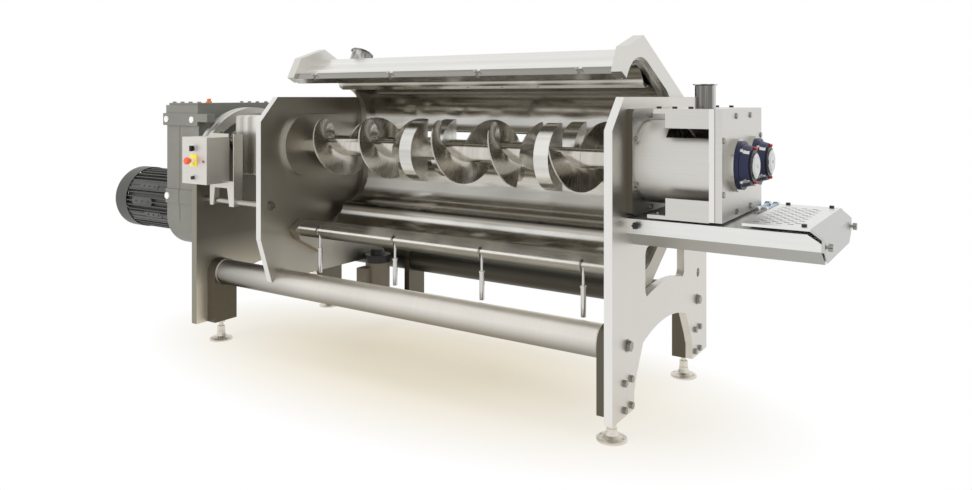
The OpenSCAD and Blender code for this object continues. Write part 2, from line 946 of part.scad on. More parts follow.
// Profile of the cover along the machine, drawn in by a margin
module cover_profile(m) {
    polygon([
        [cover_x0 - eps * m, cover_top - m], [cover_x1 - 43 - m * 0.4, cover_top - m],
        [cover_x1 - m, cover_top - 32 - m * 0.4], [cover_x1 - m, deck_z - 200],
        [cover_x0 - eps * m, deck_z - 200]
    ]);
}

module tray_cover() {
    low = deck_z - tray_h + 8;
    lip = 9.5;
    color(steel)
        difference() {
            union() {
                // Top, slope and end flap
                along(tray_y0, cover_y1)
                    difference() {
                        cover_profile(0);
                        cover_profile(sheet);
                        translate([cover_x0 - 2, low - 200])
                            square([cover_x1 - cover_x0 + 10, 200]);
                    }
                // Folded lip on the operator's side
                along(tray_y0, tray_y0 + sheet)
                    difference() {
                        cover_profile(0);
                        cover_profile(lip);
                        translate([cover_x0 - 2, low - 200])
                            square([cover_x1 - cover_x0 + 10, 200]);
                    }
                // Folded lip at the back, down to the deck
                along(tray_y1 - sheet - 6, tray_y1 - 6)
                    translate([cover_x0, deck_z + 0.3])
                        square([cover_x1 - cover_x0 - 80, cover_top - deck_z - 1]);
            }
            // Lower corners of the end flap
            for (s = [[tray_y0, 1], [tray_y1, -1]])
                across(tray_x1 - 30, cover_x1 + 5)
                    polygon([
                        [s[0] - s[1] * 60, deck_z - skirt_h], [s[0], deck_z - skirt_h],
                        [s[0] + s[1] * tray_in, low - 6], [s[0] - s[1] * 60, low - 6]
                    ]);
            across(cover_x1 - 60, cover_x1 + 5)
                polygon([
                    [tray_y1, 0], [tray_y1, deck_z - 17], [cover_y1 - 10, deck_z + 14],
                    [cover_y1 + 50, deck_z + 14], [cover_y1 + 50, 0]
                ]);
            // Staggered air slots
            for (i = [0:slot_rows - 1])
                for (j = [0:3])
                    translate([
                        cover_x0 + 34 + j * 38 + (i % 2) * 19,
                        tray_y0 + 62 + i * 30,
                        cover_top - sheet - eps
                    ])
                        linear_extrude(sheet + 2 * eps)
                            slot_outline(22, 9);
        }
}

module slot_outline(l, w) {
    translate([-l / 2 + w / 2, 0])
        circle(w / 2, $fn = 16);
    translate([l / 2 - w / 2, 0])
        circle(w / 2, $fn = 16);
    translate([-l / 2 + w / 2, -w / 2])
        square([l - w, w]);
}

module star_knob() {
    cylinder(h = 8, r = 6);
    translate([0, 0, 8]) {
        cylinder(h = 14, r = 9);
        for (a = [0:60:300])
            rotate(a)
                translate([9, 0, 0])
                    cylinder(h = 14, r = 4.5, $fn = 16);
    }
}

// Hand knobs that hold the cover and the tray
module tray_knobs() {
    color("gray") {
        for (y = [tray_y0 + 22, tray_y1 - 26])
            translate([cover_x1, y, deck_z - 40])
                rotate([0, 90, 0])
                    star_knob();
        translate([dis_out + 40, tray_y0, deck_z - 22])
            rotate([90, 0, 0])
                star_knob();
        for (p = [
            [cover_x1 - 70, tray_y0 + 33], [cover_x0 + 33, tray_y1 + 6],
            [cover_x1 - 72, tray_y1 + 6]
        ])
            translate([p[0], p[1], cover_top])
                cylinder(h = 9, r = 9);
    }
}

// Chamber where the short water hoses lie, and their routes
hose_r = 9;
hose_x = [head_x1 + 18, head_x1 + 50];
hose_y0 = -20;
hose_l = 150;
hose_z = deck_z + 14;

module hoses() {
    color("lightblue")
        for (x = hose_x)
            translate([x, hose_y0 + 34, hose_z])
                rotate([-90, 0, 0])
                    cylinder(h = hose_l, r = hose_r);
}

module hose_fittings() {
    color("silver")
        for (x = hose_x)
            for (e = [[hose_y0, 0], [hose_y0 + 34 + hose_l, 0]])
                translate([x, e[0], hose_z]) {
                    rotate([-90, 0, 0])
                        cylinder(h = 34, r = 12);
                    rotate([-90, 0, 0])
                        cylinder(h = 12, r = 15, $fn = 6);
                    translate([0, 12, deck_z - hose_z])
                        cylinder(h = hose_z - deck_z, r = 10);
                }
}

/* Control box */

module control_box() {
    color(satin)
        difference() {
            block([box_x0, box_y0, box_z0], [box_x1, web_y, box_z0 + box_h]);
            block([box_x0 + 3, box_y0 - eps, box_z0 + 3], [box_x1 - 3, web_y - 3, box_z0 + box_h - 3]);
        }
}

module control_box_cover() {
    color(satin)
        difference() {
            block([box_x0 - 1, panel_y, box_z0 - 1], [box_x1 + 1, box_y0, box_z0 + box_h + 1]);
            block([box_x0 + 2, panel_y + 4, box_z0 + 2], [box_x1 - 2, box_y0 + eps, box_z0 + box_h - 2]);
            bar_y(box_mid, panel_y - eps, panel_y + 5, stop_z, 8 + run_gap);
            bar_y(box_mid, panel_y - eps, panel_y + 5, start_z, 9 + run_gap);
            bar_y(box_mid, panel_y - eps, panel_y + 5, select_z, 7 + run_gap);
        }
    // Bezels of the controls and the cover's lock
    color("white") {
        difference() {
            bar_y(box_mid, panel_y - 5, panel_y, start_z, 14);
            bar_y(box_mid, panel_y - 6, panel_y + 1, start_z, 9 + run_gap);
        }
        difference() {
            bar_y(box_mid, panel_y - 5, panel_y, select_z, 14);
            bar_y(box_mid, panel_y - 6, panel_y + 1, select_z, 7 + run_gap);
        }
        bar_y(box_x1 - 24, panel_y - 3, panel_y, stop_z - 4, 7);
    }
}

// Folded bracket that hangs the box on the front tie bar
module control_bracket() {
    x0 = box_x0 + 38;
    x1 = box_x1 + 35;
    top = box_z0 + box_h + 15;
    low = tie_z - 22;
    cut = 831;
    t = 6;
    color(steel)
        difference() {
            union() {
                along(web_y, web_y + t)
                    difference() {
                        translate([x0, low])
                            square([x1 - x0, top - low]);
                        polygon([
                            [x0 + 26, low - eps], [x0 + 40, cut],
                            [x1 - 52, cut], [x1 - 36, low - eps]
                        ]);
                        translate([box_x1 - 8, box_z0 + 6])
                            square([x1 - box_x1 + 2, top - box_z0]);
                    }
                for (x = [x0, x1 - t])
                    across(x, x + t)
                        polygon([
                            [web_y, low], [web_y + 44, low], [web_y + 56, tie_z + 30],
                            [web_y + 56, top], [web_y, top]
                        ]);
            }
            bar_x(x0 - eps, x1 + eps, -tie_y, tie_z, tie_d / 2 + 0.2);
        }
}

module estop_plate() {
    color("yellow")
        difference() {
            block([box_mid - 25, panel_y - 3, stop_z - 30], [box_mid + 25, panel_y, stop_z + 30]);
            bar_y(box_mid, panel_y - 4, panel_y + 1, stop_z, 8 + run_gap);
        }
    color("white")
        difference() {
            bar_y(box_mid, panel_y - 22, panel_y - 3, stop_z, 12);
            bar_y(box_mid, panel_y - 23, panel_y - 2, stop_z, 8 + run_gap);
        }
}

module estop_button() {
    color("orangered")
        translate([box_mid, panel_y + 12, stop_z])
            rotate([90, 0, 0])
                rotate_extrude()
                    polygon([
                        [0, 0], [8, 0], [8, 40], [stop_d / 2 - 5, 42], [stop_d / 2 - 1, 48],
                        [stop_d / 2, 54], [stop_d / 2 - 2, 60], [stop_d / 2 - 6, 63], [0, 65]
                    ]);
}

module start_button() {
    color("black")
        bar_y(box_mid, panel_y - 13, panel_y + 12, start_z, 9);
}

module selector_knob() {
    color("black") {
        bar_y(box_mid, panel_y - 6, panel_y + 12, select_z, 7);
        bar_y(box_mid, panel_y - 12, panel_y - 6, select_z, 14);
        block([box_mid - 5, panel_y - 24, select_z - 14], [box_mid + 5, panel_y - 11, select_z + 14]);
    }
}

/* Mixing shafts */

// Start, end and front crossing of each group of flights
flight_groups = [
    [bar_in + 52, bar_in + 596, bar_in + 208],
    [bar_in + 852, bar_in + 1300, bar_in + 938],
    [bar_in + 1467, head_x0 - 178, bar_in + 1524]
];
// Where the rim of each paddle begins
paddle_x = [bar_in + 744, bar_in + 1445];
flight_step = 10;
paddle_chord = 15;

// Half of the flight's section as radius and half thickness
flight_section = [
    [shaft_r + 0.4, root_t / 2],
    [shaft_r + 16, root_t * 0.28],
    [(shaft_r + screw_r) / 2, tip_t * 0.8],
    [screw_r, tip_t / 2]
];
section_n = len(flight_section);
section = concat(
    flight_section,
    [for (i = [section_n - 1:-1:0]) [flight_section[i][0], -flight_section[i][1]]]
);

// One group of flights, hand is 1 for right and -1 for left
module flight(group, y, hand) {
    n = ceil((group[1] - group[0]) / pitch * 360 / flight_step);
    m = len(section);
    points = [
        for (i = [0:n])
            let (x = group[0] + (group[1] - group[0]) * i / n)
            let (a = 90 + 360 * (x - group[2]) / pitch)
            for (p = section)
                [x + p[1], y - p[0] * sin(a), shaft_z + hand * p[0] * cos(a)]
    ];
    sides = [
        for (i = [0:n - 1])
            for (j = [0:m - 1])
                let (k = (j + 1) % m)
                for (f = [
                    [i * m + j, (i + 1) * m + j, (i + 1) * m + k],
                    [i * m + j, (i + 1) * m + k, i * m + k]
                ])
                    hand > 0 ? f : [f[2], f[1], f[0]]
    ];
    first = [for (j = [0:m - 1]) hand > 0 ? j : m - 1 - j];
    last = [for (j = [0:m - 1]) n * m + (hand > 0 ? m - 1 - j : j)];
    polyhedron(points, concat(sides, [first], [last]), convexity = 10);
}

// The flights of one shaft, cut flush where a paddle's rim stands
module flights(y, hand) {
    gap = 0.3;
    flight(flight_groups[0], y, hand);
    flight(flight_groups[1], y, hand);
    difference() {
        flight(flight_groups[2], y, hand);
        block(
            [paddle_x[1] - 40, y - screw_r - 5, shaft_z - screw_r - 5],
            [paddle_x[1] + paddle_w + gap, y - paddle_chord + gap, shaft_z + screw_r + 5]
        );
    }
}

// A half moon rim with a ramp that climbs to it from the shaft
module paddle(x, y) {
    reach = 50;
    difference() {
        union() {
            intersection() {
                bar_x(x, x + paddle_w, y, shaft_z, screw_r);
                block(
                    [x - eps, y - screw_r - eps, shaft_z - screw_r],
                    [x + paddle_w + eps, y - paddle_chord, shaft_z + screw_r]
                );
            }
            intersection() {
                bar_x(x - ramp_l, x, y, shaft_z, shaft_r, screw_r);
                block([x - ramp_l, y - screw_r, shaft_z - reach], [x, y - paddle_chord, shaft_z + reach]);
            }
        }
        bar_x(x - ramp_l - eps, x + paddle_w + eps, y, shaft_z, shaft_r + 0.2);
    }
}

module mixing_shaft(y) {
    bar_x(gear_x1 - 58, shaft_end, y, shaft_z, shaft_r);
    // Coupling sleeve next to the gear unit
    difference() {
        bar_x(gear_x1 + 90, lantern_x0 - 40, y, shaft_z, shaft_r + 28);
        bar_x(gear_x1 + 89, lantern_x0 - 39, y, shaft_z, shaft_r - 1);
    }
}

module front_shaft() {
    color(steel)
        mixing_shaft(front_y);
}

module front_flights() {
    color(satin)
        flights(front_y, 1);
}

module front_paddles() {
    color(satin)
        for (x = paddle_x)
            paddle(x, front_y);
}

module rear_shaft() {
    color(steel)
        mixing_shaft(rear_y);
}

module rear_flights() {
    color(satin)
        flights(rear_y, -1);
}

module rear_paddles() {
    color(satin)
        for (x = paddle_x)
            paddle(x, rear_y);
}

/* Lid and trough */

// Turns what is drawn closed into the open position
module opened(angle) {
    translate([0, hinge_y, shaft_z])
        rotate([angle, 0, 0])
            translate([0, -hinge_y, -shaft_z])
                children();
}

// Moves an outline to the middle of the barrel
module centred() {
    translate([barrel_y, shaft_z])
        children();
}

// Keeps the half above the parting plane for side 1, below it for side -1
module half(side) {
    intersection() {
        children();
        translate([-600, side > 0 ? part_gap : -600 - part_gap])
            square([1200, 600]);
    }
}

module lobes(r, cusp_r, cusp_h) {
    for (s = [-1, 1])
        translate([s * shaft_gap / 2, 0])
            circle(r);
    translate([-cusp_r, -cusp_h])
        square([2 * cusp_r, 2 * cusp_h]);
}

module slot_pill(r) {
    for (s = [-1, 1])
        translate([s * shaft_gap / 2, 0])
            circle(r);
    translate([-shaft_gap / 2, -r])
        square([shaft_gap, 2 * r]);
}

// Place of the infeed, above the front shaft
infeed_x = bar_in + 232;
infeed_v = -shaft_gap / 2;

// The twin lobed liner, its cusp cut to a narrow land
module liner(side) {
    across(shell_x0, shell_x1)
        centred()
            half(side)
                difference() {
                    lobes(bore_r + liner_t, cusp_half + 8, cusp_w + 12);
                    lobes(bore_r, cusp_half, cusp_w);
                }
}

// Outline of a jacket as distance from the middle and height
function jacket_points(front, toe, fall) = [
    [-front, 0], [-front, toe], [-front + 19, toe + fall], [-183, jacket_h],
    [183, jacket_h], [268, 75], [jacket_half, lid_rail_h], [jacket_half, 0]
];

function inset(points, t) = [
    for (p = points)
        [p[0] * (jacket_half - t) / jacket_half, p[1] * (jacket_h - t) / jacket_h]
];

module jacket(side, points) {
    across(shell_x0, shell_x1)
        centred()
            half(side)
                scale_sign(side)
                    difference() {
                        polygon(points);
                        polygon(inset(points, jacket_t));
                    }
}

// Mirrors an outline below the parting plane
module scale_sign(side) {
    mirror([0, side > 0 ? 0 : 1])
        children();
}

// A solid rail along the edge of a jacket, with the bolt slots
module rail(side, front, h, slot_depth) {
    difference() {
        across(shell_x0, shell_x1)
            centred()
                half(side)
                    scale_sign(side)
                        translate([-front, 0])
                            square([front - rail_back, h]);
        for (x = bolt_x)
            block(
                [x - slot_w / 2, barrel_y - front - eps, shaft_z - h - eps],
                [x + slot_w / 2, barrel_y - front + slot_depth, shaft_z + h + eps]
            );
    }
}

lid_points = [
    [-328, 0], [-328, 112], [-203, lid_h], [rear_reach, lid_h], [rear_reach, 0]
];
trough_points = [
    [-355, 0], [-355, 66], [-263, trough_h], [rear_reach, trough_h], [rear_reach, 0]
];
flange_seats = [[flange_x0, flange_x0 + flange_t], [flange_x1 - flange_t, flange_x1]];

// Both end flanges of a half, with the seats for the spigots
module end_flanges(side, points) {
    for (f = flange_seats)
        across(f[0], f[1])
            centred()
                half(side)
                    scale_sign(side)
                        difference() {
                            polygon(points);
                            slot_pill(bore_r + 0.5);
                        }
}

module spigot_seats() {
    across(bar_in, bar_in + spigot_l + 1)
        centred()
            slot_pill(spigot_r + 0.6);
    across(dis_in - spigot_l - 1, dis_in)
        centred()
            slot_pill(spigot_r + 0.6);
}

// Hinge arms of one half, they lap beside those of the other half
module hinge_arms(side, h, seats) {
    for (s = seats)
        difference() {
            across(s[0], s[1])
                centred() {
                    scale_sign(side)
                        polygon([
                            [rear_reach - 30, part_gap], [rear_reach - 30, h], [rear_reach, h],
                            [hinge_off + 38, 24], [hinge_off, 0], [rear_reach, part_gap]
                        ]);
                    translate([hinge_off, 0])
                        circle(knuckle_r);
                }
            bar_x(s[0] - eps, s[1] + eps, hinge_y, shaft_z, hinge_d / 2 + run_gap);
        }
}

outer_seats = [
    [flange_x0, flange_x0 + flange_t / 2 - lap / 2],
    [flange_x1 - flange_t / 2 + lap / 2, flange_x1]
];
inner_seats = [
    [flange_x0 + flange_t / 2 + lap / 2, flange_x0 + flange_t],
    [flange_x1 - flange_t, flange_x1 - flange_t / 2 - lap / 2]
];

module lid_flanges() {
    color(steel)
        opened(-lid_open)
            difference() {
                union() {
                    end_flanges(1, lid_points);
                    hinge_arms(1, lid_h, outer_seats);
                }
                spigot_seats();
            }
}

module lid_liner() {
    color(satin)
        opened(-lid_open)
            difference() {
                liner(1);
                // Row of holes in the land between the lobes
                for (i = [0:5])
                    translate([bar_in + 299 + i * 193.5, barrel_y, shaft_z + cusp_w - 5])
                        cylinder(h = 30, r = 5);
                translate([infeed_x, barrel_y + infeed_v, shaft_z + bore_r - 40])
                    cylinder(h = 60, r = infeed_d / 2 - 2.1);
            }
}

// Outline of the jacket that covers the lid
lid_jacket_points = jacket_points(jacket_half, lid_rail_h, 43);

module lid_jacket() {
    color(satin)
        opened(-lid_open)
            difference() {
                union() {
                    jacket(1, lid_jacket_points);
                    rail(1, lid_rail, lid_rail_h, 14);
                }
                translate([infeed_x, barrel_y + infeed_v, shaft_z + jacket_h - 10])
                    cylinder(h = 30, r = infeed_d / 2 + 0.3);
            }
}

// The infeed ferrule passes through the jacket to the liner
module lid_ferrule() {
    top = jacket_h + 72;
    low = bore_r + liner_t + 0.3;
    color(steel)
        opened(-lid_open)
            translate([infeed_x, barrel_y + infeed_v, shaft_z])
                difference() {
                    union() {
                        translate([0, 0, low])
                            cylinder(h = top - low, r = infeed_d / 2);
                        translate([0, 0, top - 3])
                            cylinder(h = 3, r = infeed_d / 2 + 8.7);
                        translate([0, 0, top - 6])
                            cylinder(h = 3, r1 = infeed_d / 2, r2 = infeed_d / 2 + 8.7);
                    }
                    translate([0, 0, low - eps])
                        cylinder(h = top, r = infeed_d / 2 - 2.1);
                }
}

module trough_flanges() {
    color(steel)
        opened(trough_open)
            difference() {
                union() {
                    end_flanges(-1, trough_points);
                    hinge_arms(-1, trough_h, inner_seats);
                }
                spigot_seats();
            }
}

module trough_liner() {
    color(satin)
        opened(trough_open)
            liner(-1);
}

trough_jacket_points = jacket_points(280, trough_rail_h, 27);

module trough_jacket() {
    color(satin)
        opened(trough_open) {
            jacket(-1, trough_jacket_points);
            rail(-1, trough_rail, trough_rail_h, 33);
            // Pivot pins of the swing bolts
            for (x = bolt_x)
                bar_x(
                    x - slot_w / 2 - eps, x + slot_w / 2 + eps,
                    barrel_y + pivot_v, shaft_z + pivot_w, pivot_d / 2
                );
        }
}

/* Swing bolts */

// Where a pivot on the open trough lies
pivot_y0 = barrel_y + pivot_v - hinge_y;
pivot_y = hinge_y + pivot_y0 * cos(trough_open) - pivot_w * sin(trough_open);
pivot_z = shaft_z + pivot_y0 * sin(trough_open) + pivot_w * cos(trough_open);

// A clamp rod that hangs from its pivot, with collar and handle
module swing_bolt(x) {
    eye = slot_w - 2;
    color(steel)
        translate([x, pivot_y, pivot_z])
            difference() {
                union() {
                    bar_x(-eye / 2, eye / 2, 0, 0, pivot_d / 2 + 6);
                    translate([0, 0, -rod_l])
                        cylinder(h = rod_l, r = 6);
                    translate([0, 0, -rod_l - collar_l])
                        cylinder(h = collar_l, r = handle_d / 2 + 2);
                    translate([0, 0, -rod_l - collar_l - handle_l])
                        cylinder(h = handle_l, r = handle_d / 2);
                }
                bar_x(-eye, eye, 0, 0, pivot_d / 2 + run_gap);
            }
}

module swing_bolt_1() {
    swing_bolt(bolt_x[0]);
}

module swing_bolt_2() {
    swing_bolt(bolt_x[1]);
}

module swing_bolt_3() {
    swing_bolt(bolt_x[2]);
}

module swing_bolt_4() {
    swing_bolt(bolt_x[3]);
}

drive_leg_plate();
barrel_plate();
discharge_plate();
leg_blocks();
front_tube();
rear_tube();
tie_bars();
foot_pads();
foot_nuts();
frame_bolts();
tube_bracket();
power_pack();
hinge_rod();
gearbox_housing();
gearbox_cover();
gearbox_fittings();
motor_housing();
motor_cowl();
motor_rotor();
adaptor_ring();
lantern_housing();
barrel_spigots();
discharge_flange();
discharge_barrel();
discharge_end_plates();
discharge_top_plate();
discharge_outlet();
bearing_adaptors();
bearing_housings();
bearing_rings();
bearing_covers();
tray();
tray_cover();
tray_knobs();
hoses();
hose_fittings();
control_box();
control_box_cover();
control_bracket();
estop_plate();
estop_button();
start_button();
selector_knob();
front_shaft();
front_flights();
front_paddles();
rear_shaft();
rear_flights();
rear_paddles();
lid_liner();
lid_jacket();
lid_flanges();
lid_ferrule();
trough_liner();
trough_jacket();
trough_flanges();
swing_bolt_1();
swing_bolt_2();
swing_bolt_3();
swing_bolt_4();
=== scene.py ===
"""Look of a twin shaft continuous mixer: materials, small details, light and camera."""

import math

import bmesh
import bpy
from mathutils import Matrix, Vector


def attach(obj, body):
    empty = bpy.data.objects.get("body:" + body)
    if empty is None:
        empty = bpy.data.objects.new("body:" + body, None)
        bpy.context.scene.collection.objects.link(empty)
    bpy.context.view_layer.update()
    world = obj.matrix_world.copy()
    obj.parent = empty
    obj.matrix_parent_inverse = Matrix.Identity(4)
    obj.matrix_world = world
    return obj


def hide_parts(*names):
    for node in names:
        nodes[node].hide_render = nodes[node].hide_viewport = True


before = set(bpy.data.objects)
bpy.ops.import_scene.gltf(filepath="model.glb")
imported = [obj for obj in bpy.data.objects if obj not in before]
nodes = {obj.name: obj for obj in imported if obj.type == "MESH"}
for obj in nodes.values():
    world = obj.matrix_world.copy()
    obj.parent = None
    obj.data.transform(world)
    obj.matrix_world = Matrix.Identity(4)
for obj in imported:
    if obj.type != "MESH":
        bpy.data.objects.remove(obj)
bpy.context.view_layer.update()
scene = bpy.context.scene


# Colours and node helpers

WHITE = (1.0, 1.0, 1.0, 1.0)
# Colour of painted highlights on polished steel
HIGHLIGHT_COLOUR = (0.92, 0.91, 0.88, 1.0)


def srgb(r, g, b):
    """A colour in 0 to 255 display values as linear values."""
    linear = [
        c / 255 / 12.92 if c <= 10 else ((c / 255 + 0.055) / 1.055) ** 2.4 for c in (r, g, b)
    ]
    return (*linear, 1.0)


def scaled(colour, k):
    """A colour multiplied by a number."""
    return tuple(min(c * k, 1.0) for c in colour[:3]) + (1.0,)


class Shader:
    """A material with a Principled shader and short calls that add nodes to it."""

    def __init__(self, name, colour, metallic=0.0, roughness=0.5):
        self.material = bpy.data.materials.new(name)
        self.material.use_nodes = True
        self.tree = self.material.node_tree
        self.bsdf = self.tree.nodes["Principled BSDF"]
        self.bsdf.inputs["Base Color"].default_value = colour
        self.bsdf.inputs["Metallic"].default_value = metallic
        self.bsdf.inputs["Roughness"].default_value = roughness
        self.coords = self.add("ShaderNodeTexCoord").outputs["Object"]

    def add(self, kind, **values):
        node = self.tree.nodes.new(kind)
        for key, value in values.items():
            setattr(node, key, value)
        return node

    def link(self, source, target):
        self.tree.links.new(source, target)

    def stretched(self, scale):
        """Object coordinates scaled along each axis."""
        mapping = self.add("ShaderNodeMapping")
        mapping.inputs["Scale"].default_value = scale
        self.link(self.coords, mapping.inputs["Vector"])
        return mapping.outputs["Vector"]

    def noise(self, scale, detail=3.0, rough=0.55, vector=None):
        node = self.add("ShaderNodeTexNoise")
        node.inputs["Scale"].default_value = scale
        node.inputs["Detail"].default_value = detail
        node.inputs["Roughness"].default_value = rough
        self.link(vector or self.coords, node.inputs["Vector"])
        return node.outputs["Fac"]

    def spread(self, value, low, high, start=0.3, end=0.7):
        """Maps start to end, by default the usual values of a noise, to low to high."""
        node = self.add("ShaderNodeMapRange")
        node.inputs["From Min"].default_value = start
        node.inputs["From Max"].default_value = end
        node.inputs["To Min"].default_value = low
        node.inputs["To Max"].default_value = high
        self.link(value, node.inputs["Value"])
        return node.outputs["Result"]

    def maths(self, operation, a, b):
        node = self.add("ShaderNodeMath", operation=operation)
        for socket, value in zip(node.inputs, (a, b)):
            if isinstance(value, (int, float)):
                socket.default_value = value
            else:
                self.link(value, socket)
        return node.outputs["Value"]

    def mixed(self, factor, a, b):
        """Two colours mixed, a where the factor is 0 and b where it is 1."""
        node = self.add("ShaderNodeMix", data_type="RGBA")
        if isinstance(factor, (int, float)):
            node.inputs["Factor"].default_value = factor
        else:
            self.link(factor, node.inputs["Factor"])
        for socket, value in (("A", a), ("B", b)):
            sockets = [s for s in node.inputs if s.name == socket and s.type == "RGBA"]
            if isinstance(value, tuple):
                sockets[0].default_value = value
            else:
                self.link(value, sockets[0])
        return [s for s in node.outputs if s.type == "RGBA"][0]

    def tinted(self, colour, factor):
        """A colour multiplied by a grey value."""
        node = self.add("ShaderNodeVectorMath", operation="SCALE")
        self.link(colour, node.inputs["Vector"])
        self.link(factor, node.inputs["Scale"])
        return node.outputs["Vector"]

    def bump(self, height, strength, distance=0.0004):
        node = self.add("ShaderNodeBump")
        node.inputs["Strength"].default_value = strength
        node.inputs["Distance"].default_value = distance
        self.link(height, node.inputs["Height"])
        self.link(node.outputs["Normal"], self.bsdf.inputs["Normal"])


# Kinds of look. Each call adds one material to looks.

looks = {}

GRAIN = {
    # Scale along X, Y and Z, small along the direction of the brush lines
    "x": (3.0, 160.0, 160.0),
    "y": (160.0, 3.0, 160.0),
    "z": (160.0, 160.0, 3.0),
    "round": (260.0, 4.0, 4.0),
}


def steel(
    name,
    rgb,
    roughness,
    grain,
    cloud=0.08,
    lines=0.05,
    bump=0.02,
    bands=None,
    shade_ramps=(),
    stripes=(),
):
    """Stainless steel with brush lines and slow clouding.

    bands are broad polished streaks, as their scale and depth. Ramps and stripes are painted
    light that stands in for the shade and reflections of a studio. A ramp is painted shade: an
    axis, its dark place, the place where the full colour starts, and the tone of the dark
    place. A stripe runs along X and is its y, its z, its half width and its tone; under 1 it
    is painted shade, over 1 a painted highlight.
    """
    colour = srgb(*rgb)
    s = Shader(name, colour, metallic=1.0, roughness=roughness)
    streak = s.noise(1.0, detail=4.0, rough=0.6, vector=s.stretched(GRAIN[grain]))
    drift = s.noise(2.1, detail=2.0)
    tint = s.mixed(
        s.spread(drift, 0.0, 1.0), scaled(colour, 1.0 - cloud), scaled(colour, 1.0 + cloud)
    )
    fine = s.mixed(s.spread(streak, 0.0, 1.0), scaled(colour, 0.9), scaled(colour, 1.08))
    base = s.mixed(0.35, tint, fine)
    height = streak
    if bands:
        scale, depth = bands
        broad = s.noise(1.0, detail=3.0, rough=0.5, vector=s.stretched(scale))
        dull = s.spread(broad, 0.0, 1.0, 0.38, 0.62)
        base = s.mixed(dull, scaled(colour, 1.0 - depth), base)
        height = s.maths("ADD", streak, broad)
    # Ramps paint shade that darkens the colour towards one place
    for axis, dark, full, tone in shade_ramps:
        place = s.add("ShaderNodeSeparateXYZ")
        s.link(s.coords, place.inputs["Vector"])
        base = s.tinted(base, s.spread(place.outputs[axis], tone, 1.0, dark, full))
    # Stripes paint light along X: a dark stripe is painted shade, a bright one a painted
    # highlight that turns nearly white and loses most of its metal
    highlight_mask = None
    for y, z, half, tone in stripes:
        away = s.add("ShaderNodeVectorMath", operation="DISTANCE")
        s.link(s.stretched((0.0, 1.0, 1.0)), away.inputs[0])
        away.inputs[1].default_value = (0.0, y, z)
        inside = s.spread(away.outputs["Value"], 1.0, 0.0, half * 0.35, half)
        if tone < 1:
            base = s.mixed(inside, base, scaled(colour, tone))
        else:
            base = s.mixed(inside, base, HIGHLIGHT_COLOUR)
            highlight_mask = s.maths("MAXIMUM", highlight_mask or 0.0, inside)
    if highlight_mask:
        s.link(s.spread(highlight_mask, 1.0, 0.15, 0.0, 1.0), s.bsdf.inputs["Metallic"])
    s.link(base, s.bsdf.inputs["Base Color"])
    rough = s.maths(
        "ADD",
        s.spread(streak, roughness - lines, roughness + lines),
        s.spread(drift, -0.03, 0.04),
    )
    s.link(rough, s.bsdf.inputs["Roughness"])
    s.bump(height, bump)
    looks[name] = s.material


def paint(name, rgb, roughness=0.42, orange_peel=0.04, worn=0.12):
    """Sprayed paint with a faint orange peel and dusty patches."""
    colour = srgb(*rgb)
    s = Shader(name, colour, roughness=roughness)
    patch = s.noise(5.0, detail=4.0)
    s.link(
        s.mixed(s.spread(patch, 0.0, 1.0), scaled(colour, 1 - worn), scaled(colour, 1 + worn)),
        s.bsdf.inputs["Base Color"],
    )
    s.link(s.spread(patch, roughness - 0.06, roughness + 0.08), s.bsdf.inputs["Roughness"])
    s.bump(s.noise(420.0, detail=1.0), orange_peel)
    looks[name] = s.material


def plastic(name, rgb, roughness=0.4, coat=0.0):
    """Moulded plastic with a fine erosion texture."""
    colour = srgb(*rgb)
    s = Shader(name, colour, roughness=roughness)
    s.bsdf.inputs["Coat Weight"].default_value = coat
    grain = s.noise(900.0, detail=2.0)
    s.link(
        s.mixed(s.spread(s.noise(40.0), 0.0, 1.0), scaled(colour, 0.94), scaled(colour, 1.06)),
        s.bsdf.inputs["Base Color"],
    )
    s.link(s.spread(grain, roughness - 0.05, roughness + 0.05), s.bsdf.inputs["Roughness"])
    s.bump(grain, 0.03, 0.0002)
    looks[name] = s.material


# The looks

LONG_BANDS = (0.15, 13.0, 13.0)  # Scale of polished streaks along X

steel("plate", (216, 212, 206), 0.38, "z", cloud=0.05)
# Lighter steel, a painted highlight on the plates' edges
steel("edge", (232, 230, 226), 0.42, "z", cloud=0.03)
# A darker copy of plate, painted shade on the barrel plate, the trough's flanges and the
# spigots' faces
steel("shaded_plate", (184, 179, 168), 0.38, "z", cloud=0.1, bands=((3.0, 3.0, 2.0), 0.12))
# Painted light and shade on the drive leg plate: pale at the bottom, darker towards the top
steel("leg_plate", (240, 234, 220), 0.5, "z", cloud=0.1, shade_ramps=(("Z", 0.56, 0.3, 0.32),))
# Dark steel, painted shade on the leg blocks, the tube bracket and the front side of the
# discharge flange
steel("block", (98, 93, 82), 0.36, "z", cloud=0.06)
# Painted shade on the front edges of the drive leg plate
steel("block_edge", (150, 146, 134), 0.4, "z", cloud=0.06)
# Near black steel, painted shade in slots and grooves and on faces that look down
steel("shade", (72, 70, 65), 0.4, "x", cloud=0.06)
steel("box", (226, 223, 216), 0.5, "z", cloud=0.06)
steel("lantern", (228, 225, 218), 0.26, "z", cloud=0.06, bands=((17.0, 17.0, 0.4), 0.4))
# Painted shade on the front tube, darker underneath and towards its left end
steel(
    "tube",
    (226, 222, 214),
    0.36,
    "round",
    shade_ramps=(("Z", 0.312, 0.385, 0.3), ("X", -1.05, -0.45, 0.5)),
)
# A darker copy of the tube, painted shade, darker still towards its front side
steel(
    "rear_tube", (206, 201, 190), 0.38, "round", lines=0.04, shade_ramps=(("Y", 0.385, 0.46, 0.13),)
)
steel("rod", (190, 186, 177), 0.3, "round", lines=0.04)
steel("head", (211, 209, 204), 0.38, "x", cloud=0.06)
steel("jacket", (233, 232, 227), 0.24, "x", cloud=0.06, bands=(LONG_BANDS, 0.14))
steel("rail", (172, 170, 164), 0.2, "x", cloud=0.08, bands=(LONG_BANDS, 0.3))
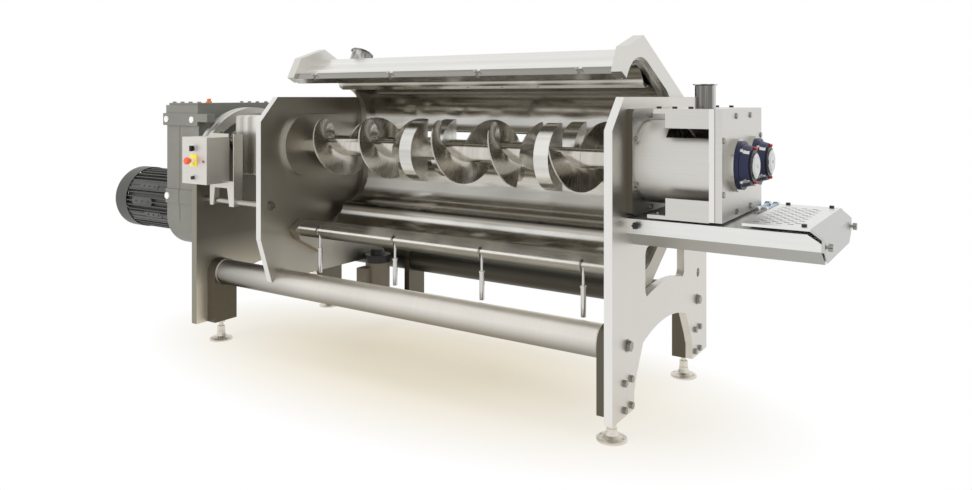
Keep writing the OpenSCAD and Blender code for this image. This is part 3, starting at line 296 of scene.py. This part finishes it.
# A painted highlight in a thin stripe and painted shade in a broad stripe along X
steel(
    "trough_jacket",
    (218, 216, 210),
    0.24,
    "x",
    cloud=0.06,
    bands=(LONG_BANDS, 0.14),
    stripes=((-0.3475, 0.639, 0.009, 2.0), (-0.322, 0.592, 0.024, 0.25)),
)
# Two painted highlights along X, where the polished liner would reflect the studio
steel(
    "lid_liner",
    (190, 185, 174),
    0.18,
    "x",
    cloud=0.06,
    lines=0.03,
    bands=(LONG_BANDS, 0.25),
    stripes=((0.167, 1.176, 0.036, 2.0), (-0.056, 1.366, 0.012, 2.0)),
)
# Two painted highlights along X and painted shade along the cusp between the lobes
steel(
    "trough_liner",
    (196, 191, 180),
    0.18,
    "x",
    cloud=0.06,
    lines=0.03,
    bands=(LONG_BANDS, 0.25),
    stripes=(
        (0.169, 0.822, 0.062, 2.0),
        (-0.031, 0.681, 0.016, 2.0),
        (-0.012, 0.719, 0.02, 0.2),
    ),
)
steel("adaptor", (200, 198, 192), 0.24, "round", bands=((9.0, 9.0, 9.0), 0.2))
steel("flange", (216, 214, 208), 0.36, "z", cloud=0.05)
steel("shaft", (208, 204, 196), 0.17, "round", bands=((40.0, 0.5, 0.5), 0.12))
steel("flight", (198, 193, 183), 0.26, "round", bands=((6.0, 8.0, 8.0), 0.25))
steel("rim", (230, 228, 222), 0.22, "x", bands=((0.5, 14.0, 14.0), 0.3))
steel("tray", (230, 230, 227), 0.4, "x", cloud=0.05)
# Darker copies of the tray steel, painted shade on the tray cover's end slope and the tray's
# lower skirt
steel("slope", (198, 198, 195), 0.4, "y", cloud=0.05)
steel("shaded_skirt", (172, 172, 168), 0.4, "x", cloud=0.05)
steel("foot", (226, 221, 211), 0.42, "round")
steel("bolt", (150, 147, 140), 0.26, "round")
steel("chrome", (208, 207, 204), 0.12, "round", lines=0.03, bump=0.01)
steel("ferrule", (208, 206, 201), 0.14, "z", lines=0.03, bands=((44.0, 44.0, 0.5), 0.75))

paint("gear_paint", (118, 118, 113))
paint("motor_paint", (66, 66, 64), 0.4)
paint("pack_paint", (120, 112, 98))
paint("blue_paint", (16, 22, 62), 0.36)

plastic("white", (226, 227, 224))
plastic("black", (26, 26, 27))
plastic("cap", (206, 210, 214), 0.2, coat=0.3)
plastic("red", (206, 52, 34), 0.3, coat=0.3)
plastic("stop_red", (224, 86, 56), 0.32, coat=0.2)
plastic("orange", (218, 128, 48), 0.35)
plastic("yellow", (240, 214, 66), 0.4)
plastic("hose", (150, 176, 204), 0.26, coat=0.3)

WEAR = {
    # Each look with the CAD nodes that wear it
    "plate": "discharge_plate",
    "shaded_plate": "barrel_plate trough_flanges",
    "leg_plate": "drive_leg_plate",
    "block": "leg_blocks tube_bracket",
    "tube": "front_tube",
    "rear_tube": "rear_tube",
    "rod": "tie_bars hinge_rod",
    "foot": "foot_pads foot_nuts",
    "bolt": "frame_bolts",
    "pack_paint": "power_pack",
    "gear_paint": "gearbox_housing gearbox_cover",
    "white": "gearbox_fittings",
    "motor_paint": "motor_housing motor_cowl",
    "shaft": "motor_rotor front_shaft rear_shaft",
    "head": "adaptor_ring discharge_flange discharge_barrel discharge_end_plates "
    "discharge_top_plate discharge_outlet barrel_spigots",
    "adaptor": "bearing_adaptors",
    "box": "control_box control_box_cover control_bracket",
    "lantern": "lantern_housing",
    "blue_paint": "bearing_housings",
    "black": "bearing_rings tray_knobs start_button selector_knob",
    "cap": "bearing_covers",
    "tray": "tray tray_cover",
    "hose": "hoses",
    "chrome": "hose_fittings swing_bolt_1 swing_bolt_2 swing_bolt_3 swing_bolt_4",
    "yellow": "estop_plate",
    "stop_red": "estop_button",
    "flight": "front_flights rear_flights",
    "rim": "front_paddles rear_paddles",
    "lid_liner": "lid_liner",
    "trough_liner": "trough_liner",
    "jacket": "lid_jacket",
    "trough_jacket": "trough_jacket",
    "flange": "lid_flanges",
    "ferrule": "lid_ferrule",
}

SMOOTH_ANGLE = math.radians(32)


def smooth(mesh):
    """Smooth shading that stays sharp at the edges."""
    mesh.shade_smooth()
    mesh.set_sharp_from_angle(angle=SMOOTH_ANGLE)


for look, names in WEAR.items():
    for name in names.split():
        data = nodes[name].data
        data.materials.clear()
        data.materials.append(looks[look])
        smooth(data)


# Places on the machine, in metres

BARREL_Y, SHAFT_Z = -0.132, 1.05
FRONT_Y, REAR_Y = -0.247, -0.017
LEG_PLATE_MID, BARREL_PLATE_MID, DISCHARGE_PLATE_MID = -1.177, -0.6785, 1.1825
BAR_IN = -0.662
FLANGE_MID, FLANGE_OUT = 1.212, 1.225
HEAD_X0, HEAD_X1, HEAD_Y0, HEAD_TOP = 1.506, 1.553, -0.4035, 1.257
VENT_X, VENT_Y, VENT_REACH = 1.448, -0.26, 0.05
SCREW_X, SCREW_OUT, SCREW_REACH = 1.589, 0.079, 0.0095
GEAR_TOP, BREATHER_X, BREATHER_Y, BREATHER_REACH = 1.266, -1.464, -0.232, 0.02
RING_FACE, RING_Z, RING_REACH = -1.22, 0.885, 0.32
MOTOR_Z, MOTOR_R = 0.667, 0.187
HINGE_Y, HINGE_BACK, LID_OPEN = 0.299, 0.431, math.radians(27.2)
BOX_MID, PANEL_Y, STOP_PLATE_T = -1.037, -0.65, 0.003
PACK_CAP_Z = 0.37
BOLT_X = (-0.483, 0.003, 0.489, 0.975)
DECK_Z = 0.845
EDGE_Y = -0.4  # Beyond it lies only a plate's edge on the operator's side
PAST = 0.0002  # Just outside a face, so that only what stands on it is meant

UP, DOWN, RAIL_OUT = (0, 0, 1), (0, 0, -1), (0, -0.889, 0.457)
ALONG_X = (1, 0, 0)


def repaint(node, look, inside, facing=None):
    """Gives the faces of a node whose middle passes the test another material.

    With facing, only faces that look that way change.
    """
    data = nodes[node].data
    data.materials.append(looks[look])
    slot = len(data.materials) - 1
    for face in data.polygons:
        if inside(face.center) and (facing is None or face.normal.dot(Vector(facing)) > 0.96):
            face.material_index = slot


def near(p, y, z, r):
    """Whether a point lies within r of a line along X."""
    return math.hypot(p.y - y, p.z - z) < r


# Gear unit, control box and power pack
repaint("gearbox_fittings", "bolt", lambda p: p.z > GEAR_TOP + PAST)
repaint(
    "gearbox_fittings",
    "orange",
    lambda p: p.z > GEAR_TOP + PAST
    and abs(p.x - BREATHER_X) < BREATHER_REACH
    and abs(p.y - BREATHER_Y) < BREATHER_REACH,
)
repaint("control_box_cover", "chrome", lambda p: p.y < PANEL_Y - PAST)
repaint("estop_plate", "white", lambda p: p.y < PANEL_Y - STOP_PLATE_T - PAST)
repaint("power_pack", "black", lambda p: p.z > PACK_CAP_Z + PAST)

# Screws and vent of the discharge head, bolts of the adaptor ring, and what shows on the inner
# side of the barrel plate: the nuts of the tie bars and painted shade on the faces of the
# spigots
repaint("discharge_flange", "bolt", lambda p: p.x > FLANGE_OUT + PAST)
repaint("discharge_end_plates", "bolt", lambda p: p.x > HEAD_X1 + PAST)
repaint("discharge_top_plate", "black", lambda p: p.z > HEAD_TOP + PAST)
repaint(
    "discharge_top_plate",
    "ferrule",
    lambda p: p.z > HEAD_TOP + PAST and math.hypot(p.x - VENT_X, p.y - VENT_Y) < VENT_REACH,
)
repaint("discharge_outlet", "bolt", lambda p: 0.8662 < p.z < 0.8735)
repaint(
    "adaptor_ring",
    "bolt",
    lambda p: p.x > RING_FACE + PAST and near(p, BARREL_Y, RING_Z, RING_REACH),
)
repaint("tie_bars", "bolt", lambda p: p.x > BAR_IN + PAST)
repaint("barrel_spigots", "shaded_plate", lambda p: BAR_IN + 0.0235 < p.x < BAR_IN + 0.0245)

# Edges of the plates, between their two sides, with a painted highlight on most and painted
# shade on those of the drive leg plate and the discharge flange, and painted shade in the
# groove of the end plates
repaint(
    "barrel_plate", "edge", lambda p: abs(p.x - BARREL_PLATE_MID) < 0.0155 and p.z > 0.45
)
repaint(
    "drive_leg_plate", "block_edge", lambda p: abs(p.x - LEG_PLATE_MID) < 0.019 and p.y < 0
)
repaint(
    "discharge_plate",
    "edge",
    lambda p: abs(p.x - DISCHARGE_PLATE_MID) < 0.0155 and p.y < EDGE_Y,
)
repaint(
    "discharge_flange",
    "block",
    lambda p: abs(p.x - FLANGE_MID) < 0.0125 and p.y < EDGE_Y,
)
repaint(
    "discharge_end_plates",
    "edge",
    lambda p: p.y < HEAD_Y0 + 0.0025 and p.x < HEAD_X0 + 0.02,
)
repaint("discharge_end_plates", "shade", lambda p: abs(p.x - HEAD_X0 - 0.021) < 0.0008)

# Tray, with painted shade on its lower skirt and its end slope, the tray's knobs, and faces
# that are told apart by their direction, among them painted shade on the faces of the barrel
# plate that look down
repaint("tray", "shaded_skirt", lambda p: p.z < 0.7895 and p.y < -0.346)
repaint("tray_knobs", "bolt", lambda p: p.x > 1.86)
repaint("tray_cover", "slope", lambda p: p.x > 1.845 and p.z < 0.8645)
repaint("lantern_housing", "head", lambda p: True, UP)
repaint("lid_jacket", "rail", lambda p: p.y < -0.3, RAIL_OUT)
repaint("barrel_plate", "shade", lambda p: True, DOWN)

# Painted shade in the slots of the tray cover, the lock of the control box and the bearings'
# screws
repaint(
    "tray_cover",
    "shade",
    lambda p: 0.8622 < p.z < 0.8648 and 1.63 < p.x < 1.84 and -0.36 < p.y < 0.14,
)
repaint("control_box_cover", "bolt", lambda p: p.y < PANEL_Y - PAST and p.x > BOX_MID + 0.05)
for middle in (FRONT_Y, REAR_Y):
    for turn in range(45, 360, 90):
        y = middle + SCREW_OUT * math.cos(math.radians(turn))
        z = SHAFT_Z + SCREW_OUT * math.sin(math.radians(turn))
        repaint(
            "bearing_housings",
            "chrome",
            lambda p, y=y, z=z: p.x > SCREW_X + PAST and near(p, y, z, SCREW_REACH),
        )


# Helpers for the pieces made here


def placed(name, data):
    """A new object in the scene."""
    obj = bpy.data.objects.new(name, data)
    scene.collection.objects.link(obj)
    return obj


def piece(name, mesh, look, body):
    """A new object with a material that rides on a body."""
    obj = placed(name, mesh)
    mesh.materials.append(looks[look])
    smooth(mesh)
    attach(obj, body)
    return obj


def mesh_from(name, parts):
    """One mesh from several bmesh parts."""
    joined = bmesh.new()
    for part in parts:
        data = bpy.data.meshes.new("part")
        part.to_mesh(data)
        part.free()
        joined.from_mesh(data)
        bpy.data.meshes.remove(data)
    mesh = bpy.data.meshes.new(name)
    bmesh.ops.recalc_face_normals(joined, faces=joined.faces)
    joined.to_mesh(mesh)
    joined.free()
    return mesh


def skin(bm, rings):
    """Faces between neighbouring rings of corners and over both ends."""
    count = len(rings[0])
    for low, high in zip(rings, rings[1:]):
        for i in range(count):
            j = (i + 1) % count
            bm.faces.new((low[i], low[j], high[j], high[i]))
    bm.faces.new(rings[0][::-1])
    bm.faces.new(rings[-1])


def lathe(profile, place, axis, segments=48):
    """A turned part: profile is (radius, distance along the axis) from end to end."""
    bm = bmesh.new()
    rings = []
    for radius, along in profile:
        ring = []
        for i in range(segments):
            a = 2 * math.pi * i / segments
            ring.append(bm.verts.new((radius * math.cos(a), radius * math.sin(a), along)))
        rings.append(ring)
    skin(bm, rings)
    turn = Vector((0, 0, 1)).rotation_difference(Vector(axis)).to_matrix().to_4x4()
    bm.transform(Matrix.Translation(place) @ turn)
    return bm


def opened(angle, x, v, w):
    """A point of the closed barrel when it stands open.

    v and w are its y and z from the middle between the shafts.
    """
    y, z = v - HINGE_BACK, w
    c, s = math.cos(angle), math.sin(angle)
    return Vector((x, HINGE_Y + y * c - z * s, SHAFT_Z + y * s + z * c))


# Flights. A section is the distance from the shaft's middle and half the thickness
# there. A group is its start, its end and the place where it crosses the front.

SECTION = (
    (0.0424, 0.0175),
    (0.0455, 0.0153),
    (0.0500, 0.0128),
    (0.0580, 0.0098),
    (0.0700, 0.0080),
    (0.0920, 0.0064),
    (0.1180, 0.0051),
    (0.1385, 0.0041),
    (0.1412, 0.0038),
    (0.1420, 0.0030),
)
PITCH = 0.3
STEPS_PER_TURN = 144
GROUPS = (
    (BAR_IN + 0.052, BAR_IN + 0.596, BAR_IN + 0.208),
    (BAR_IN + 0.852, BAR_IN + 1.300, BAR_IN + 0.938),
    (BAR_IN + 1.467, HEAD_X0 - 0.178, BAR_IN + 1.524),
)
CUT_X0, CUT_X1 = BAR_IN + 1.405, BAR_IN + 1.5123
CUT_REACH, CUT_NEAR = 0.147, 0.0147


def flight(group, y, hand):
    """One group of flights as a closed mesh with a flared root and a rounded rim."""
    start, end, crossing = group
    steps = math.ceil((end - start) / PITCH * STEPS_PER_TURN)
    outline = list(SECTION) + [(r, -t) for r, t in reversed(SECTION)]
    bm = bmesh.new()
    rings = []
    for i in range(steps + 1):
        x = start + (end - start) * i / steps
        a = math.radians(90) + 2 * math.pi * (x - crossing) / PITCH
        rings.append(
            [
                bm.verts.new((x + t, y - r * math.sin(a), SHAFT_Z + hand * r * math.cos(a)))
                for r, t in outline
            ]
        )
    count = len(outline)
    for low, high in zip(rings, rings[1:]):
        for i in range(count):
            j = (i + 1) % count
            bm.faces.new((low[i], high[i], high[j], low[j]))
    bm.faces.new(rings[0])
    bm.faces.new(rings[-1][::-1])
    bmesh.ops.recalc_face_normals(bm, faces=bm.faces)
    return bm


def cut_at_paddle(obj, y):
    """Ends the last group flush with the paddle's rim."""
    box = bmesh.new()
    bmesh.ops.create_cube(box, size=1.0)
    for v in box.verts:
        v.co.x = CUT_X0 if v.co.x < 0 else CUT_X1
        v.co.y = y - (CUT_REACH if v.co.y < 0 else CUT_NEAR)
        v.co.z = SHAFT_Z + (-CUT_REACH if v.co.z < 0 else CUT_REACH)
    data = bpy.data.meshes.new("cutter")
    box.to_mesh(data)
    box.free()
    cutter = placed("cutter", data)
    modifier = obj.modifiers.new("cut", "BOOLEAN")
    modifier.operation = "DIFFERENCE"
    modifier.solver = "EXACT"
    modifier.object = cutter
    graph = bpy.context.evaluated_depsgraph_get()
    result = bpy.data.meshes.new_from_object(obj.evaluated_get(graph))
    obj.modifiers.clear()
    obj.data = result
    bpy.data.objects.remove(cutter)
    bpy.data.meshes.remove(data)


for side, y, hand in (("front", FRONT_Y, 1), ("rear", REAR_Y, -1)):
    for number, group in enumerate(GROUPS):
        mesh = bpy.data.meshes.new(f"{side}_flight_{number + 1}")
        turned = flight(group, y, hand)
        turned.to_mesh(mesh)
        turned.free()
        blade = piece(mesh.name, mesh, "flight", f"{side}_screw")
        if group is GROUPS[-1]:
            cut_at_paddle(blade, y)
            smooth(blade.data)
        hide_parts(f"{side}_flights")


# Short water hoses between their fittings

HOSE_STEPS, HOSE_SAG = 24, 0.002

for number, x in enumerate((HEAD_X1 + 0.018, HEAD_X1 + 0.05)):
    curve = bpy.data.curves.new(f"hose_{number + 1}", "CURVE")
    curve.dimensions = "3D"
    curve.bevel_depth = 0.009
    curve.bevel_resolution = 6
    line = curve.splines.new("POLY")
    line.points.add(HOSE_STEPS)
    for i, point in enumerate(line.points):
        t = i / HOSE_STEPS
        sag = HOSE_SAG * math.sin(math.pi * t)
        point.co = (x, 0.014 + 0.15 * t, DECK_Z + 0.014 - sag, 1.0)
    hose = placed(curve.name, curve)
    curve.materials.append(looks["hose"])
    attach(hose, "frame")
    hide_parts("hoses")


# Bearings: a bright ring and hub on each cover, and red plugs in the housing

PLUG_X, PLUG_OUT, PLUG_TURNS = 1.6175, 0.0645, (72, 285)

for side, y in (("front", FRONT_Y), ("rear", REAR_Y)):
    ring = lathe(
        [(0.0443, 1.6262), (0.0458, 1.6270), (0.0458, 1.6310), (0.0440, 1.6325)],
        (0, y, SHAFT_Z),
        ALONG_X,
    )
    hub = lathe(
        [(0.0062, 1.635), (0.0062, 1.6385), (0.0048, 1.6395)], (0, y, SHAFT_Z), ALONG_X, 24
    )
    mesh = mesh_from(f"{side}_cover_ring", [ring, hub])
    piece(mesh.name, mesh, "chrome", "frame")
    plugs = []
    for turn in PLUG_TURNS:
        a = math.radians(turn)
        plugs.append(
            lathe(
                [(0.0062, 0.0), (0.0062, 0.009), (0.0045, 0.0115)],
                (PLUG_X, y + PLUG_OUT * math.cos(a), SHAFT_Z + PLUG_OUT * math.sin(a)),
                ALONG_X,
                20,
            )
        )
    mesh = mesh_from(f"{side}_bearing_plugs", plugs)
    piece(mesh.name, mesh, "red", "frame")


# Seats of the swing bolts in the lid's rail, one on each side of a bolt

SEAT_V, SEAT_W = -0.3145, 0.018

seats = []
for x in BOLT_X:
    for dx in (-0.0105, 0.0105):
        seats.append(
            lathe(
                [(0.0025, -0.006), (0.0034, -0.004), (0.0034, 0.012), (0.0025, 0.014)],
                opened(-LID_OPEN, x + dx, SEAT_V, SEAT_W),
                (0, -math.cos(LID_OPEN), math.sin(LID_OPEN)),
                16,
            )
        )
mesh = mesh_from("rail_seats", seats)
piece(mesh.name, mesh, "chrome", "lid")


# Seams round the shafts

SEAM_X = (0.944, 0.0, -0.52)

for side, y in (("front", FRONT_Y), ("rear", REAR_Y)):
    seams = [
        lathe(
            [(0.0418, -0.0012), (0.0422, -0.0008), (0.0422, 0.0008), (0.0418, 0.0012)],
            (x, y, SHAFT_Z),
            ALONG_X,
            64,
        )
        for x in SEAM_X
    ]
    mesh = mesh_from(f"{side}_shaft_seams", seams)
    piece(mesh.name, mesh, "bolt", f"{side}_screw")


# Motor: raised oval pads with bolts, seen between the fins

PAD_R = MOTOR_R - 0.006
PADS = (
    # Degrees round the motor, middle along X, length and width
    (180, -1.99, 0.2, 0.052),
    (205, -1.9, 0.17, 0.036),
    (150, -1.95, 0.18, 0.036),
)


def oval(length, width, height):
    """A flat oval pad with a rounded edge, its face along +Z."""
    bm = bmesh.new()
    outline = []
    for side in (1, -1):
        for i in range(13):
            a = math.radians(-90 + 180 * i / 12)
            outline.append(
                (
                    side * (length / 2 - width / 2 + width / 2 * math.cos(a)),
                    side * width / 2 * math.sin(a),
                )
            )
    rings = [
        [bm.verts.new((x * k, y * k, z)) for x, y in outline]
        for k, z in ((1.0, -0.02), (1.0, height - 0.002), (0.96, height))
    ]
    skin(bm, rings)
    return bm


pads = []
for turn, x, length, width in PADS:
    a = math.radians(turn)
    out = Vector((0, math.cos(a), math.sin(a)))
    up = Vector((0, -math.sin(a), math.cos(a)))
    pad = oval(length, width, 0.003)
    facing_out = Matrix((Vector((1, 0, 0)), up * -1, out)).transposed().to_4x4()
    pad.transform(
        Matrix.Translation(Vector((x, BARREL_Y, MOTOR_Z)) + out * PAD_R) @ facing_out
    )
    pads.append(pad)
    for dx in (-0.3, 0.0, 0.3):
        pads.append(
            lathe(
                [(0.006, -0.002), (0.006, 0.0055), (0.0045, 0.0065)],
                Vector((x + dx * length, BARREL_Y, MOTOR_Z)) + out * PAD_R,
                out,
                6,
            )
        )
mesh = mesh_from("motor_pads", pads)
piece(mesh.name, mesh, "motor_paint", "frame")


# Floor, light and camera

FLOOR_REACH = 60.0
LAMPS = (
    # Name, place, target, size and power in watts
    ("key", (-2.5, -4.6, 4.2), (0.2, 0.0, 0.9), 3.2, 95),
    ("fill", (5.2, -3.2, 2.6), (0.8, -0.1, 0.9), 2.6, 60),
    ("top", (0.5, 0.6, 5.0), (0.3, 0.0, 1.0), 4.0, 120),
    ("front", (-1.2, -4.2, 1.5), (0.2, 0.0, 0.9), 1.8, 50),
)


def backdrop():
    """A pale floor with a painted warm shadow under the machine, fading to white, that keeps
    part of its real shadow.
    """
    mesh = bpy.data.meshes.new("floor")
    far = FLOOR_REACH
    mesh.from_pydata(
        [(-far, -far, 0), (far, -far, 0), (far, far, 0), (-far, far, 0)], [], [(0, 1, 2, 3)]
    )
    floor = placed("floor", mesh)
    s = Shader("floor", srgb(244, 238, 226), roughness=0.85)
    s.bsdf.inputs["Specular IOR Level"].default_value = 0.1
    middle = s.add("ShaderNodeMapping")
    middle.inputs["Location"].default_value = (0.0, 0.12, 0.0)
    middle.inputs["Scale"].default_value = (0.6, 1.25, 1.0)
    s.link(s.coords, middle.inputs["Vector"])
    length = s.add("ShaderNodeVectorMath", operation="LENGTH")
    s.link(middle.outputs["Vector"], length.inputs[0])
    fade = s.spread(length.outputs["Value"], 0.0, 1.0, 0.25, 1.1)
    # Painted warm shadow under the machine, fading to white away from it
    painted_shadow = s.mixed(fade, srgb(238, 228, 204), WHITE)
    paths = s.add("ShaderNodeLightPath").outputs
    seen = s.maths("MAXIMUM", paths["Is Camera Ray"], paths["Is Glossy Ray"])
    seen = s.maths("MAXIMUM", seen, paths["Is Transmission Ray"])
    glow = s.add("ShaderNodeEmission")
    s.link(painted_shadow, glow.inputs["Color"])
    mix = s.add("ShaderNodeMixShader")
    s.link(s.maths("MULTIPLY", s.spread(fade, 0.62, 1.0, 0.0, 1.0), seen), mix.inputs["Fac"])
    s.link(s.bsdf.outputs["BSDF"], mix.inputs[1])
    s.link(glow.outputs["Emission"], mix.inputs[2])
    output = [n for n in s.tree.nodes if n.type == "OUTPUT_MATERIAL"][0]
    s.link(mix.outputs["Shader"], output.inputs["Surface"])
    mesh.materials.append(s.material)


def studio():
    """A white room and four broad soft lamps that reflections don't show."""
    world = bpy.data.worlds.new("studio")
    world.use_nodes = True
    scene.world = world
    tree = world.node_tree
    background = tree.nodes["Background"]
    background.inputs["Color"].default_value = WHITE
    background.inputs["Strength"].default_value = 0.55
    paths = tree.nodes.new("ShaderNodeLightPath").outputs
    seen = paths["Is Camera Ray"]
    for path in ("Is Glossy Ray", "Is Transmission Ray"):
        both = tree.nodes.new("ShaderNodeMath")
        both.operation = "MAXIMUM"
        tree.links.new(seen, both.inputs[0])
        tree.links.new(paths[path], both.inputs[1])
        seen = both.outputs["Value"]
    white = tree.nodes.new("ShaderNodeBackground")
    white.inputs["Color"].default_value = WHITE
    mix = tree.nodes.new("ShaderNodeMixShader")
    tree.links.new(seen, mix.inputs["Fac"])
    tree.links.new(background.outputs["Background"], mix.inputs[1])
    tree.links.new(white.outputs["Background"], mix.inputs[2])
    tree.links.new(mix.outputs["Shader"], tree.nodes["World Output"].inputs["Surface"])
    for name, place, target, size, power in LAMPS:
        data = bpy.data.lights.new(name, "AREA")
        data.size = size
        data.energy = power
        lamp = placed(name, data)
        lamp.location = place
        lamp.visible_glossy = False
        aim = Vector(target) - Vector(place)
        lamp.rotation_euler = aim.to_track_quat("-Z", "Y").to_euler()


def camera():
    """The photograph's level camera, shifted down so that upright lines stay upright."""
    data = bpy.data.cameras.new("camera")
    data.sensor_width = 36.0
    data.lens = 29.095
    data.shift_y = -0.1523
    data.clip_start = 0.05
    data.clip_end = 200.0
    eye = placed("camera", data)
    eye.location = (2.36585, -3.16397, 1.3)
    eye.rotation_euler = (math.radians(90), 0.0, math.radians(33.14))
    scene.camera = eye


backdrop()
studio()
camera()
scene.view_settings.view_transform = "Standard"
